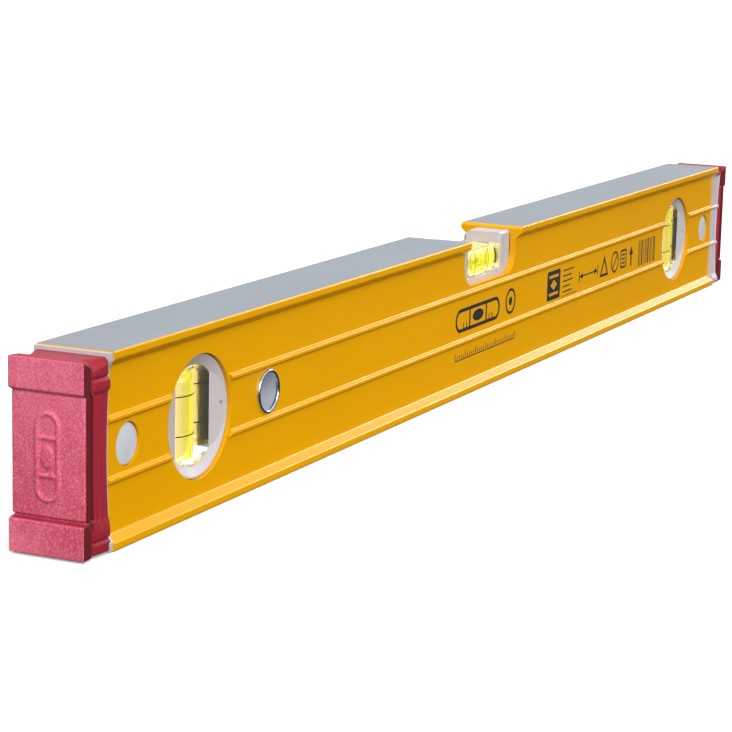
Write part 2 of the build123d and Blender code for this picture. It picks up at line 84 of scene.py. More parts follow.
# --- steps of the worked-out surfaces ---
ROUND = 96                               # round a turned piece
FLANK_STEPS, FACE_STEPS, BACK_STEPS = 44, 104, 24
SIDE_ROWS, CAP_ROWS, PANEL_ROWS = 196, 26, 239
BOW_STEPS, ARM_STEPS = 6, 60             # along the two stretches of a spring's arm
CREST_STEPS, BARREL_STEPS = 25, 29       # over a plumb block's crest, and along a liquid

# --- rubber end block, millimetres: depth is measured inwards from its end face ---
RUBBER_DEEP = 15.0                       # its last 1.2 hides part of the flange
RUBBER_LOW, RUBBER_HIGH = 0.6, 59.0
RUBBER_HALF = 12.9
PAD_LOW_TOP, PAD_HIGH_FOOT = 11.1, 49.1  # the recessed middle lies between these heights
PAD_TAPER = 0.4                          # a pad narrows by this along each of its two blocks
BLOCK_DEEP, NECK_DEEP = 5.5, 6.3         # the upright groove behind a pad's front block
NECK_CUT = 1.7
REAR_IN, REAR_RUN = 0.45, 5              # the rear block starts narrower and widens along this run
SPLITS, SPLIT_CUT = ((4.0, 4.8), (52.7, 53.5)), 0.9     # level grooves in the rear blocks
BACK_ROUND, BACK_CUT = 2.6, 1.9          # rounded rear corner of the upper pad
LOW_SLOPE_FOOT = 7.4                     # where a lower pad starts to slope in to the middle
SLOPE_DEPTHS = (0, BLOCK_DEEP, NECK_DEEP, RUBBER_DEEP)
SLOPE_FOOT = (58.8, 56.9, 55.9, 58.2)    # where an upper pad's side slope starts at those depths
SLOPE_CUT = (0.1, 2.0, 3.4, 0.6)         # and how far it draws in the top edge
FACE_RECESS, FACE_CROWN = 1.0, 0.3
FACE_FALL, FACE_FALL_RUN = 0.6, (11.7, 12.9)            # more fall near the face's side edges
SLIT_DEEP, SLIT_LOW, SLIT_HIGH = 1.9, 0.1, 0.75         # slit over the lower pad, from its top
LEDGE_DEEP, LEDGE_TALL = 0.3, 0.7        # small undercut below the upper pad
SOFT = 0.2                               # softness of a groove's edges
FLANK_HALF = 12.7                        # half width of the middle
WAIST_ENDS, WAIST_MORE, WAIST_REACH = 0.65, 0.55, 19    # the middle's draw-in and its parabola
BELLOWS = (4.6, 7.6, 10.6)               # depths of the middle's three upright grooves
BELLOWS_HALF, BELLOWS_CUT = 1.0, 0.95
FOOT_STEP, FOOT_STEP_DEPTHS = 0.3, (5.9, 6.4)           # the bottom rises behind its front band
TOP_STEP, TOP_BEAD = 0.45, 0.25          # the top drops behind its front band, past a small bead
EMBLEM = (13.5, 4.2, 0.6)                # half length, half width and half line of the raised vial
EMBLEM_PROUD = 0.6
EMBLEM_LINES, EMBLEM_LINE_HALF = 5.6, 0.5
EMBLEM_BUBBLE = (3.4, 1.9)

# --- white cover of each block's drawn-in side, millimetres ---
PANEL_START, PANEL_LOW, PANEL_HIGH = 289.25, 1.6, 55.3
PANEL_DEEP, PANEL_BACK = 7.1, 9.3        # the block is drawn in behind this depth, to this half width
FLANGE_PROUD, FLANGE_WAIST = 1.0, 0.73   # the flange's edge past the side wall, and its parabola
FLANGE_SLOPE = (24.8, 27.1)              # from the middle height: where its edge slopes out
FLANGE_SLOPE_OUT = 2.25
RIB_APART, RIB_PROUD, RIB_HALVES = 18.4, 1.08, (0.45, 1.3)
PANEL_RUN = (0.0, 0.25, 1.0, 3.0, 5.0, 6.4, 7.7, 7.8, 7.95, 8.25, 8.4, 8.5)   # along the level
PANEL_LIFT = (-0.3, 0.0, 0.0, 0.0, 0.0, 0.0, 0.0, 0.3, 0.4, 0.4, 0.3, 0.0)    # its rim stands out
PANEL_RETURN = (8.5, 6.0, 2.5, 0.0)
PANEL_UNDER = 0.4                        # its inner face lies this far inside the block

# --- hanging sleeve and printed marks, millimetres ---
RIM_PROUD, SLEEVE_BACK = 0.88, 0.7       # past the front wall, and past the back wall
MARK_SUNK, MARK_PROUD, LABEL_PROUD = 0.03, 0.04, 0.07

# --- lock buttons and latch springs, millimetres ---
BUTTON_X = 277.3
COLLAR_WIDTH, COLLAR_THICK = 1.4, 1.2
BUTTON_EDGE, BUTTON_SUNK = 0.6, 0.55
BUTTON_DOME = ((4.5, 0.10), (3.0, 0.19), (1.5, 0.24), (0, 0.25))
SPRING_THICK = 0.5

# --- vials, millimetres ---
SHELL_ROUND = 0.35
BORE_HALF, BORE_FALL = 5.07, 0.25
PLUMB_LIQUID, CENTRE_LIQUID = 14.28, 13.28              # half lengths


# ---------------------------------------------------------------- materials

class Finish:
    """A material being put together: its node tree and the few nodes that most finishes share."""

    def __init__(self, name):
        self.material = bpy.data.materials.new(name)
        self.material.use_nodes = True
        self.tree = self.material.node_tree
        self.shader = self.tree.nodes["Principled BSDF"]
        self.place = self.add("ShaderNodeTexCoord").outputs["Object"]

    def add(self, kind, inputs=None, **settings):
        """A node of this kind; inputs are values or sockets to link."""
        node = self.tree.nodes.new(kind)
        for key, value in settings.items():
            setattr(node, key, value)
        for key, value in (inputs or {}).items():
            self.feed(node.inputs[key], value)
        return node

    def feed(self, socket, value):
        """Link a socket to this one, or set its own value."""
        if isinstance(value, bpy.types.NodeSocket):
            self.tree.links.new(value, socket)
        elif socket.type == "RGBA":
            socket.default_value = (*value[:3], 1.0)
        else:
            socket.default_value = value

    def stretched(self, scale):
        """Object coordinates scaled along each axis."""
        inputs = {"Vector": self.place, "Scale": scale}
        return self.add("ShaderNodeMapping", inputs).outputs["Vector"]

    def noise(self, scale, detail=2.0, rough=0.5, where=None):
        """Noise between 0 and 1; scale is in waves per metre."""
        inputs = {"Vector": where or self.place, "Scale": scale, "Detail": detail, "Roughness": rough}
        return self.add("ShaderNodeTexNoise", inputs).outputs["Fac"]

    def cells(self, scale):
        """Distance to the nearest of scattered points."""
        inputs = {"Vector": self.place, "Scale": scale}
        return self.add("ShaderNodeTexVoronoi", inputs).outputs["Distance"]

    def maths(self, operation, first, second=0.0):
        """Result of one arithmetic operation."""
        return self.add("ShaderNodeMath", {0: first, 1: second}, operation=operation).outputs[0]

    def spread(self, value, low, high, start=0.0, end=1.0):
        """Value from low to high carried onto start to end, held at both ends."""
        inputs = {"Value": value, "From Min": low, "From Max": high, "To Min": start, "To Max": end}
        return self.add("ShaderNodeMapRange", inputs).outputs["Result"]

    def blend(self, share, first, second):
        """Colour from first to second by share."""
        node = self.add("ShaderNodeMix", data_type="RGBA")
        for index, value in ((0, share), (6, first), (7, second)):
            self.feed(node.inputs[index], value)
        return node.outputs[2]

    def bump(self, height, depth, strength=1.0, after=None):
        """Bump of this depth in metres, on top of an earlier one."""
        inputs = {"Height": height, "Distance": depth, "Strength": strength}
        if after is not None:
            inputs["Normal"] = after
        return self.add("ShaderNodeBump", inputs).outputs["Normal"]

    def axis(self, name, vector=None, distance=False):
        """One component of the object coordinates or of another vector, or its absolute value."""
        part = self.add("ShaderNodeSeparateXYZ", {"Vector": vector or self.place}).outputs[name]
        return self.maths("ABSOLUTE", part) if distance else part

    def surface(self, **values):
        """Set the shader's own sockets; underscores in a name stand for spaces."""
        for key, value in values.items():
            self.feed(self.shader.inputs[key.replace("_", " ")], value)
        return self.material


def coated_profile():
    """Yellow powder coat, with bare milled metal on the two measuring faces."""
    f = Finish("coated_profile")
    from_middle = f.maths("ABSOLUTE", f.maths("SUBTRACT", f.axis("Z"), MID))
    bare = f.maths("GREATER_THAN", from_middle, MID - 0.04 * MM)
    cloud = f.noise(9.0, 3.0)
    paint = f.blend(f.spread(cloud, 0.3, 0.7), (0.84, 0.395, 0.0), (0.79, 0.37, 0.0))
    mill = f.noise(900.0, 3.0, 0.6, f.stretched((0.02, 1.0, 1.0)))
    sheen = f.noise(30.0, 2.0, 0.5, f.stretched((0.25, 1.0, 1.0)))
    metal = f.blend(f.spread(sheen, 0.25, 0.75), (0.42, 0.46, 0.50), (0.49, 0.525, 0.56))
    metal = f.blend(f.spread(mill, 0.35, 0.65, 0.0, 0.22), metal, (0.33, 0.36, 0.40))
    peel = f.bump(f.noise(650.0, 2.0), 0.012 * MM)
    peel = f.bump(f.noise(5200.0, 1.0), 0.003 * MM, 0.6, peel)
    marks = f.bump(mill, 0.01 * MM, 0.8)
    normal = f.add("ShaderNodeMix", data_type="VECTOR")
    f.feed(normal.inputs[0], bare)
    f.feed(normal.inputs[4], peel)
    f.feed(normal.inputs[5], marks)
    gloss = f.spread(mill, 0.3, 0.7, 0.30, 0.40)
    rough = f.add("ShaderNodeMix", data_type="FLOAT")
    f.feed(rough.inputs[0], bare)
    f.feed(rough.inputs[2], f.spread(cloud, 0.2, 0.8, 0.21, 0.27))
    f.feed(rough.inputs[3], gloss)
    return f.surface(Base_Color=f.blend(bare, paint, metal), Metallic=bare, Roughness=rough.outputs[0],
                     Normal=normal.outputs[1], Specular_IOR_Level=0.2)


def white_plastic():
    """Satin moulded plastic with a faint spark grain and slow shade changes."""
    f = Finish("white_plastic")
    shade = f.blend(f.spread(f.noise(60.0, 3.0), 0.3, 0.7), (0.60, 0.555, 0.56), (0.55, 0.508, 0.515))
    grain = f.bump(f.noise(3800.0, 2.0), 0.006 * MM, 0.7)
    rough = f.spread(f.noise(240.0), 0.3, 0.7, 0.36, 0.48)
    return f.surface(Base_Color=shade, Roughness=rough, Normal=grain, Subsurface_Weight=0.12,
                     Subsurface_Radius=(0.004, 0.003, 0.002), Subsurface_Scale=0.3)


def red_rubber():
    """Red rubber: a pale speckled spark grain on the end face, paler still there as painted light; the
    sides are smoother and deeper red as painted shade, darkest as painted shade on the front block's
    upright flanks.
    """
    f = Finish("red_rubber")
    away = f.axis("X", distance=True)
    normal = f.add("ShaderNodeTexCoord").outputs["Normal"]
    facing = f.axis("X", normal, True)
    # painted light: faces near the end that face along the level take the paler face colours; all other
    # faces take the deeper flank colours as painted shade
    near_end = f.spread(away, END - 3.4 * MM, END - 2.4 * MM)
    ends = f.maths("MULTIPLY", near_end, f.spread(facing, 0.35, 0.8))
    # painted shade: marks the front block, within about 6 mm of the end, whose upright flanks get a
    # darker red as shadow
    block = f.spread(away, END - 6.2 * MM, END - 5.6 * MM)
    speck = f.noise(1500.0, 4.0, 0.75)
    pores = f.cells(2200.0)
    cloud = f.spread(f.noise(38.0, 2.0), 0.35, 0.65)
    face = f.blend(cloud, (0.86, 0.165, 0.25), (0.66, 0.080, 0.140))
    face = f.blend(f.spread(speck, 0.50, 0.68, 0.0, 0.8), face, (0.92, 0.34, 0.42))
    face = f.blend(f.spread(speck, 0.46, 0.30, 0.0, 0.6), face, (0.34, 0.014, 0.040))
    # flank colours: deeper red as painted shade, with sparser pale speckle
    flank = f.blend(cloud, (0.36, 0.012, 0.030), (0.29, 0.008, 0.021))
    flank = f.blend(f.spread(speck, 0.50, 0.75, 0.0, 0.3), flank, (0.55, 0.04, 0.08))
    upright = f.axis("Z", normal, True)
    block = f.maths("MULTIPLY", block, f.spread(upright, 0.75, 0.35))
    # painted shade: the front block's upright flanks darkened to nearly black-red
    flank = f.blend(f.maths("MULTIPLY", block, 0.9), flank, (0.11, 0.001, 0.004))
    grain = f.bump(speck, 0.12 * MM, 0.7)
    grain = f.bump(pores, 0.05 * MM, 0.5, grain)
    rough = f.spread(speck, 0.3, 0.7, 0.62, 0.46)
    return f.surface(Base_Color=f.blend(ends, flank, face), Roughness=rough, Normal=grain,
                     Sheen_Weight=0.06, Sheen_Roughness=0.4, Sheen_Tint=(1.0, 0.72, 0.76),
                     Specular_IOR_Level=0.28)


def acrylic():
    """Clear cast acrylic, polished, with faint drawing lines up its sides."""
    f = Finish("acrylic")
    wave = f.bump(f.noise(110.0, 1.0), 0.02 * MM, 0.5)
    drawn = f.noise(520.0, 2.0, 0.6, f.stretched((1.0, 1.0, 0.12)))
    wave = f.bump(f.spread(drawn, 0.55, 0.8), 0.03 * MM, 0.5, wave)
    tint = f.blend(f.noise(90.0), (0.94, 0.955, 0.965), (0.91, 0.93, 0.945))
    rough = f.spread(f.noise(500.0, 2.0), 0.45, 0.8, 0.0, 0.035)
    return f.surface(Base_Color=tint, Roughness=rough, Normal=wave, IOR=1.49, Transmission_Weight=1.0)


def vial_liquid():
    """Yellow liquid, greener towards the bore's sides, with painted light: an emission glow, dimmer and
    greener towards the sides; its index is relative to the acrylic.
    """
    f = Finish("vial_liquid")
    aside = f.axis("Y", distance=True)
    edge = f.spread(aside, 2.6 * MM, 4.9 * MM)
    cloud = f.spread(f.noise(160.0, 2.0), 0.3, 0.7)
    tint = f.blend(edge, f.blend(cloud, (0.96, 0.88, 0.42), (0.94, 0.87, 0.36)), (0.72, 0.84, 0.05))
    # painted light: the liquid glows though it is no lamp, brightest in the middle of the bore
    painted_glow = f.blend(edge, f.blend(cloud, (1.0, 0.66, 0.42), (0.97, 0.66, 0.36)), (0.44, 0.43, 0.03))
    return f.surface(Base_Color=tint, Roughness=0.03, IOR=0.94, Transmission_Weight=0.75,
                     Emission_Color=painted_glow, Emission_Strength=0.64)


def air_bubble():
    """Air seen through the liquid."""
    f = Finish("air_bubble")
    tint = f.blend(f.noise(300.0), (0.93, 0.97, 0.72), (0.97, 0.99, 0.84))
    return f.surface(Base_Color=tint, Roughness=0.02, IOR=0.72, Transmission_Weight=0.85)


def black_ink():
    """Matt black print with slightly uneven cover."""
    f = Finish("black_ink")
    cover = f.spread(f.noise(1500.0, 2.0), 0.3, 0.7)
    tone = f.blend(cover, (0.010, 0.010, 0.012), (0.030, 0.026, 0.022))
    rough = f.spread(f.noise(700.0), 0.3, 0.7, 0.42, 0.6)
    return f.surface(Base_Color=tone, Roughness=rough)


def yellow_ink():
    """The coat's own colour where it shows inside a printed block."""
    f = Finish("yellow_ink")
    tone = f.blend(f.spread(f.noise(700.0, 2.0), 0.3, 0.7), (0.78, 0.36, 0.002), (0.72, 0.33, 0.002))
    return f.surface(Base_Color=tone, Roughness=f.spread(f.noise(400.0), 0.3, 0.7, 0.32, 0.45))


def plated_steel():
    """Plated steel: a polished rim, and a satin bore with faint turning marks."""
    f = Finish("plated_steel")
    aside = f.axis("Y", distance=True)
    rim = f.spread(aside, WEB - 0.5 * MM, WEB)
    turned_marks = f.noise(1800.0, 2.0, 0.5, f.stretched((0.15, 1.0, 0.15)))
    tone = f.blend(f.spread(turned_marks, 0.3, 0.7), (0.66, 0.69, 0.75), (0.60, 0.63, 0.69))
    bore = f.spread(f.noise(260.0, 2.0), 0.3, 0.7, 0.38, 0.48)
    rough = f.add("ShaderNodeMix", data_type="FLOAT")
    for index, value in ((0, rim), (2, bore), (3, 0.16)):
        f.feed(rough.inputs[index], value)
    metal = f.spread(rim, 0.0, 1.0, 0.45, 1.0)
    return f.surface(Base_Color=tone, Metallic=metal, Roughness=rough.outputs[0],
                     Normal=f.bump(turned_marks, 0.0015 * MM))


def spring_steel():
    """Tempered strip steel, grey with lengthwise rolling lines."""
    f = Finish("spring_steel")
    rolled = f.noise(2600.0, 3.0, 0.6, f.stretched((0.03, 1.0, 1.0)))
    tone = f.blend(f.spread(rolled, 0.3, 0.7), (0.34, 0.34, 0.36), (0.25, 0.25, 0.27))
    return f.surface(Base_Color=tone, Metallic=1.0, Roughness=f.spread(rolled, 0.3, 0.7, 0.28, 0.4),
                     Normal=f.bump(rolled, 0.004 * MM))


def button_plastic():
    """Glossy light grey plastic."""
    f = Finish("button_plastic")
    shade = f.blend(f.spread(f.noise(150.0, 2.0), 0.3, 0.7), (0.66, 0.685, 0.71), (0.58, 0.605, 0.635))
    grain = f.bump(f.noise(2400.0, 2.0), 0.004 * MM, 0.6)
    rough = f.spread(f.noise(300.0), 0.3, 0.7, 0.22, 0.32)
    return f.surface(Base_Color=shade, Roughness=rough, Normal=grain)


def stopper_plastic():
    """Translucent tinted stopper."""
    f = Finish("stopper_plastic")
    tone = f.blend(f.spread(f.noise(500.0, 2.0), 0.3, 0.7), (0.62, 0.68, 0.30), (0.52, 0.60, 0.22))
    return f.surface(Base_Color=tone, Roughness=f.spread(f.noise(900.0), 0.3, 0.7, 0.3, 0.45))


def pale_floor():
    """Plain pale floor with a very faint mottle."""
    f = Finish("pale_floor")
    tone = f.blend(f.spread(f.noise(6.0, 2.0), 0.3, 0.7), (0.90, 0.90, 0.90), (0.88, 0.88, 0.885))
    return f.surface(Base_Color=tone, Roughness=0.6, Specular_IOR_Level=0.2,
                     Emission_Color=(1.0, 1.0, 1.0), Emission_Strength=0.22)


# ---------------------------------------------------------------- surfaces

def grid_faces(rows, columns, wrap_rows, wrap_columns):
    """Quads of a grid whose point (i, j) is number i * columns + j; wrapping joins opposite edges."""
    i = np.arange(rows if wrap_rows else rows - 1)
    j = np.arange(columns if wrap_columns else columns - 1)
    i, j = np.meshgrid(i, j, indexing="ij")
    down, across = (i + 1) % rows, (j + 1) % columns
    quads = [i * columns + j, i * columns + across, down * columns + across, down * columns + j]
    return np.stack(quads, -1).reshape(-1, 4)


def fan_faces(pole, ring):
    """Triangles from one pole point to a closed ring of points."""
    return np.stack([np.full(len(ring), pole), ring, np.roll(ring, -1)], -1)


def piece(name, points, faces, material, body, sharp):
    """A mesh object from points in metres and lists of equal-sided faces.

    Edges past the angle stay sharp. Without a body, it is left unattached."""
    mesh = bpy.data.meshes.new(name)
    groups = [np.asarray(group, dtype=np.int32) for group in faces if len(group)]
    corners = np.concatenate([group.ravel() for group in groups])
    sides = np.concatenate([np.full(len(group), group.shape[1]) for group in groups])
    mesh.vertices.add(len(points))
    mesh.vertices.foreach_set("co", np.asarray(points, dtype=np.float32).ravel())
    mesh.loops.add(len(corners))
    mesh.loops.foreach_set("vertex_index", corners)
    mesh.polygons.add(len(sides))
    starts = np.concatenate([[0], np.cumsum(sides)[:-1]]).astype(np.int32)
    mesh.polygons.foreach_set("loop_start", starts)
    mesh.update(calc_edges=True)
    mesh.validate()
    mesh.polygons.foreach_set("use_smooth", np.ones(len(mesh.polygons), dtype=bool))
    mesh.set_sharp_from_angle(angle=math.radians(sharp))
    made = bpy.data.objects.new(name, mesh)
    bpy.context.scene.collection.objects.link(made)
    facing_out(made)
    mesh.materials.append(material)
    if body:
        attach(made, body)
    return made


def facing_out(made):
    """Turn a closed mesh's faces outwards where its volume comes out negative."""
    mesh = made.data
    mesh.calc_loop_triangles()
    count = len(mesh.loop_triangles)
    corners = np.empty(count * 3, dtype=np.int32)
    mesh.loop_triangles.foreach_get("vertices", corners)
    points = np.empty(len(mesh.vertices) * 3, dtype=np.float32)
    mesh.vertices.foreach_get("co", points)
    a, b, c = points.reshape(-1, 3)[corners.reshape(-1, 3)].transpose(1, 0, 2)
    if np.einsum("ij,ij->i", a, np.cross(b, c)).sum() < 0:
        mesh.flip_normals()


def axes_for(direction):
    """Two cross directions and the axis itself, for X, Y or Z."""
    axes = np.eye(3)
    first = {"X": 1, "Y": 2, "Z": 0}[direction]
    return axes[first], axes[(first + 1) % 3], axes["XYZ".index(direction)]


def capped(grid, ends):
    """Points and faces of stacked closed rows, the first and last row fanned to the two end points."""
    rows, columns = grid.shape[:2]
    poles = rows * columns
    ring = np.arange(columns)
    faces = [grid_faces(rows, columns, False, True), fan_faces(poles, ring[::-1]),
             fan_faces(poles + 1, ring + poles - columns)]
    return np.concatenate([grid.reshape(-1, 3), ends]), faces


def turned(profile, centre, direction, closed):
    """Points and faces of a turned shape: profile (radius, height) carried round an axis.

    A point is centre + radius * (cos a * u + sin a * v) + height * w for angles a round the axis w.
    A closed profile is a loop, like a tube's; an open one starts and ends on the axis."""
    profile = np.asarray(profile, dtype=float)
    u, v, w = axes_for(direction)
    angle = np.linspace(0, 2 * np.pi, ROUND, endpoint=False)
    spoke = np.outer(np.cos(angle), u) + np.outer(np.sin(angle), v)
    rings = profile if closed else profile[1:-1]
    grid = rings[:, None, :1] * spoke[None] + rings[:, None, 1:] * w + np.asarray(centre)
    if closed:
        return grid.reshape(-1, 3), [grid_faces(len(rings), ROUND, True, True)]
    return capped(grid, [np.asarray(centre) + profile[k, 1] * w for k in (0, -1)])


def smooth_step(value, low, high):
    """0 below low, 1 above high, an S curve between."""
    t = np.clip((value - low) / (high - low), 0, 1)
    return t * t * (3 - 2 * t)


def window(value, low, high, soft):
    """1 between low and high, 0 outside, with soft edges."""
    rise = smooth_step(value, low - soft, low + soft)
    return rise * (1 - smooth_step(value, high - soft, high + soft))


def arc(centre, radius, start, end, steps):
    """Points of an arc as (radius, height) pairs; angles in degrees from the radius axis."""
    angle = np.radians(np.linspace(start, end, steps))
    return np.stack([centre[0] + radius * np.cos(angle), centre[1] + radius * np.sin(angle)], -1)


# ---------------------------------------------------------------- rubber end blocks

def rubber_half(depth, height):
    """Half width of the end block at a depth and height.

    Pads: nearly square blocks, split by an upright groove, their side edges cut off by long slopes.
    Middle: drawn in towards the back by a parabola in height, with three cosine-shaped grooves."""
    front = RUBBER_HALF - PAD_TAPER * np.clip(depth / BLOCK_DEEP, 0, 1)
    rear = RUBBER_HALF - REAR_IN + PAD_TAPER * np.clip((depth - NECK_DEEP) / REAR_RUN, 0, 1)
    pad = np.where(depth < BLOCK_DEEP + 0.4, front, rear)
    pad = pad - NECK_CUT * window(depth, BLOCK_DEEP, NECK_DEEP, SOFT)
    split = sum(window(height, *span, SOFT) for span in SPLITS)
    pad = pad - SPLIT_CUT * split * smooth_step(depth, NECK_DEEP - 0.2, NECK_DEEP + 0.4)
    corner = np.clip((depth - RUBBER_DEEP + BACK_ROUND) / BACK_ROUND, 0, 1)
    pad = pad - BACK_CUT * (1 - np.sqrt(1 - corner ** 2)) * smooth_step(height, 51, 56)
    waist = WAIST_ENDS + WAIST_MORE * (1 - ((height - MID / MM) / WAIST_REACH) ** 2)
    middle = FLANK_HALF - waist * smooth_step(depth, 1.0, RUBBER_DEEP)
    for place in BELLOWS:
        inside = np.clip((depth - place) / BELLOWS_HALF, -1, 1)
        middle = middle - BELLOWS_CUT * np.cos(inside * np.pi / 2) ** 2
    pad_top = PAD_LOW_TOP + 0.15
    low_edge = np.interp(depth, (0, BLOCK_DEEP), (PAD_LOW_TOP, LOW_SLOPE_FOOT))
    rise = np.clip((height - low_edge) / (pad_top - low_edge), 0, 1)
    low = pad + (middle - pad) * rise ** 1.3
    high_edge = np.interp(depth, SLOPE_DEPTHS, SLOPE_FOOT)
    lift = np.clip((height - high_edge) / (RUBBER_HIGH - high_edge), 0, 1)
    high = pad - np.interp(depth, SLOPE_DEPTHS, SLOPE_CUT) * lift ** 0.8
    return np.where(height < pad_top, low, np.where(height > PAD_HIGH_FOOT, high, middle))


def rubber_face(across, height):
    """Depth of the end face: recessed and slightly crowned, with the raised outline of a vial.

    The outline is the distance to a line segment less a radius; its bubble is an ellipse."""
    inner = window(height, PAD_LOW_TOP, PAD_HIGH_FOOT, SOFT)
    shadow = SLIT_DEEP * window(height, PAD_LOW_TOP + SLIT_LOW, PAD_LOW_TOP + SLIT_HIGH, 0.12)
    shadow = shadow + LEDGE_DEEP * window(height, PAD_HIGH_FOOT - LEDGE_TALL, PAD_HIGH_FOOT, SOFT)
    fall = FACE_CROWN * (across / RUBBER_HALF) ** 2
    fall = fall + FACE_FALL * smooth_step(abs(across), *FACE_FALL_RUN) ** 2
    along = height - MID / MM
    length, half, line = EMBLEM
    rim = np.hypot(np.maximum(abs(along) - length + half, 0), across) - half + line
    lines = window(abs(along), EMBLEM_LINES - EMBLEM_LINE_HALF, EMBLEM_LINES + EMBLEM_LINE_HALF, 0.15)
    bubble = np.hypot(along / EMBLEM_BUBBLE[0], across / EMBLEM_BUBBLE[1])
    raised = np.maximum.reduce([1 - smooth_step(abs(rim), line - 0.15, line + 0.15),
                                lines * (abs(across) < half - line),
                                1 - smooth_step(bubble, 0.92, 1.08)])
    grain_wave = 0.05 * np.sin(across * 0.9 + 1.0) * np.sin(along * 0.37)
    return inner * (FACE_RECESS + fall + grain_wave - EMBLEM_PROUD * raised) + shadow


def rubber_top(depth):
    """Drop of the top face: a shallow step behind its front band."""
    return TOP_STEP * smooth_step(depth, 3.4, 3.9) - TOP_BEAD * window(depth, 3.4, 4.1, SOFT)


def rubber_block(side, material):
    """Rubber end block as one closed grid.

    A row is a level loop: flank, end face, flank again and back; one flank is drawn in where the side
    panel covers it. Rows climb from the bottom to the top, and shrink to a point on the middle of both
    faces. Two passes of a 1-2-1 mean along rows and columns round every edge."""
    heights = np.linspace(RUBBER_LOW, RUBBER_HIGH, SIDE_ROWS)[:, None]
    front_half = rubber_half(np.full_like(heights, 0.0), heights)
    front_depth = rubber_face(front_half, heights)
    run = np.linspace(0, 1, FLANK_STEPS, endpoint=False)[None]
    flank_depth = RUBBER_DEEP + (front_depth - RUBBER_DEEP) * run
    flank_half = rubber_half(flank_depth, heights)
    edge_half = rubber_half(front_depth, heights)
    face_across = edge_half * np.linspace(1, -1, FACE_STEPS)[None]
    face_depth = rubber_face(face_across, heights)
    back_half = rubber_half(np.full_like(heights, RUBBER_DEEP), heights)
    back_across = back_half * np.linspace(-1, 1, BACK_STEPS + 1)[None, 1:-1]
    back_depth = np.full_like(back_across, RUBBER_DEEP)
    mirrored = slice(None, None, -1)
    depth = np.concatenate([flank_depth, face_depth, flank_depth[:, mirrored], back_depth], 1)
    across = np.concatenate([flank_half, face_across, -flank_half[:, mirrored], back_across], 1)
    widest = np.concatenate([flank_half, np.broadcast_to(edge_half, face_across.shape),
                             flank_half[:, mirrored], np.broadcast_to(back_half, back_across.shape)], 1)
    sign = -1 if side == "left" else 1
    drawn = (across * sign < 0) * smooth_step(depth, PANEL_DEEP - 0.1, PANEL_DEEP + 0.2)
    drawn = drawn * window(heights, PANEL_LOW - 0.2, PANEL_HIGH + 0.2, 0.1)
    across = across * (1 - (1 - PANEL_BACK / widest) * drawn)
    level = np.broadcast_to(heights, depth.shape)
    foot_step = FOOT_STEP * smooth_step(depth, *FOOT_STEP_DEPTHS)
    level = level + foot_step * (1 - smooth_step(level, 1, 9))
    level = level - rubber_top(depth) * smooth_step(level, 50, RUBBER_HIGH)
    shrink = (1 - np.linspace(0, 0.97, CAP_ROWS) ** 1.2)[1:, None]
    centre = RUBBER_DEEP / 2
    caps = []
    for row in (0, -1):
        cap_depth = centre + (depth[row] - centre) * shrink
        if row:
            cap_level = RUBBER_HIGH - rubber_top(cap_depth)
        else:
            cap_level = RUBBER_LOW + FOOT_STEP * smooth_step(cap_depth, *FOOT_STEP_DEPTHS)
        caps.append(np.stack([cap_depth, across[row] * shrink, cap_level], -1))
    grid = np.concatenate([caps[0][mirrored], np.stack([depth, across, level], -1), caps[1]])
    for _ in range(2):
        grid = (np.roll(grid, 1, 1) + 2 * grid + np.roll(grid, -1, 1)) / 4
        grid[1:-1] = (grid[:-2] + 2 * grid[1:-1] + grid[2:]) / 4
    grid[..., 0] = np.clip(grid[..., 0], 0, RUBBER_DEEP)
    points, faces = capped(grid, [grid[0].mean(0), grid[-1].mean(0)])
    points = np.stack([sign * (END / MM - points[:, 0]), points[:, 1], points[:, 2]], -1) * MM
    made = piece(side + "_rubber_block", points, faces, material, side + "_cap", 60.0)
    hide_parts(side + "_cap_bumper")


def side_panel(side, material):
    """White cover of the block's drawn-in side, as one closed grid.

    A row is a level loop: out along the profile's own section, over a thin proud rim and back along a
    plain inner face. Its reach is the flange's outline in height, less a parabola, plus two ribs."""
    wall = WEB / MM
    heights = np.linspace(PANEL_LOW, PANEL_HIGH, PANEL_ROWS)
    from_mid = heights - MID / MM
    reach = np.interp(abs(from_mid), FLANGE_SLOPE, (wall + FLANGE_PROUD, wall + FLANGE_SLOPE_OUT))
    reach = reach - FLANGE_WAIST * np.clip(1 - (from_mid / FLANGE_SLOPE[0]) ** 2, 0, 1)
    rib = np.interp(abs(abs(from_mid) - RIB_APART / 2), RIB_HALVES, (1.0, 0.0))
    front = np.maximum(reach, wall + RIB_PROUD * rib)[:, None] + np.array([PANEL_LIFT])
    back = np.full((len(heights), len(PANEL_RETURN)), PANEL_BACK - PANEL_UNDER)
    across = np.concatenate([front, back], 1)
    inward = np.broadcast_to(np.array([PANEL_RUN + PANEL_RETURN]), across.shape)
    level = np.broadcast_to(heights[:, None], across.shape)
    sign = -1 if side == "left" else 1
    grid = np.stack([sign * (PANEL_START + inward), -sign * across, level], -1)
    points, faces = capped(grid, [grid[0].mean(0), grid[-1].mean(0)])
    piece(side + "_side_panel", points * MM, faces, material, side + "_cap", 35.0)


# ---------------------------------------------------------------- printed marks

def oblong(left, right, low, high, corner=0.01, steps=8):
    """Closed outline of a rectangle, its corners rounded by quarter circles."""
    angle = np.radians(np.linspace(0, 90, steps))
    centres = ((right - corner, high - corner), (left + corner, high - corner),
               (left + corner, low + corner), (right - corner, low + corner))
    turns = []
    for number, (x, z) in enumerate(centres):
        swing = angle + number * np.pi / 2
        turns.append(np.stack([x + corner * np.cos(swing), z + corner * np.sin(swing)], -1))
    return np.concatenate(turns)


def round_mark(x, z, wide, tall=None, steps=48):
    """Closed outline of an ellipse by its half axes, or of a circle by its radius."""
    angle = np.linspace(0, 2 * np.pi, steps, endpoint=False)
    return np.stack([x + wide * np.cos(angle), z + (tall or wide) * np.sin(angle)], -1)


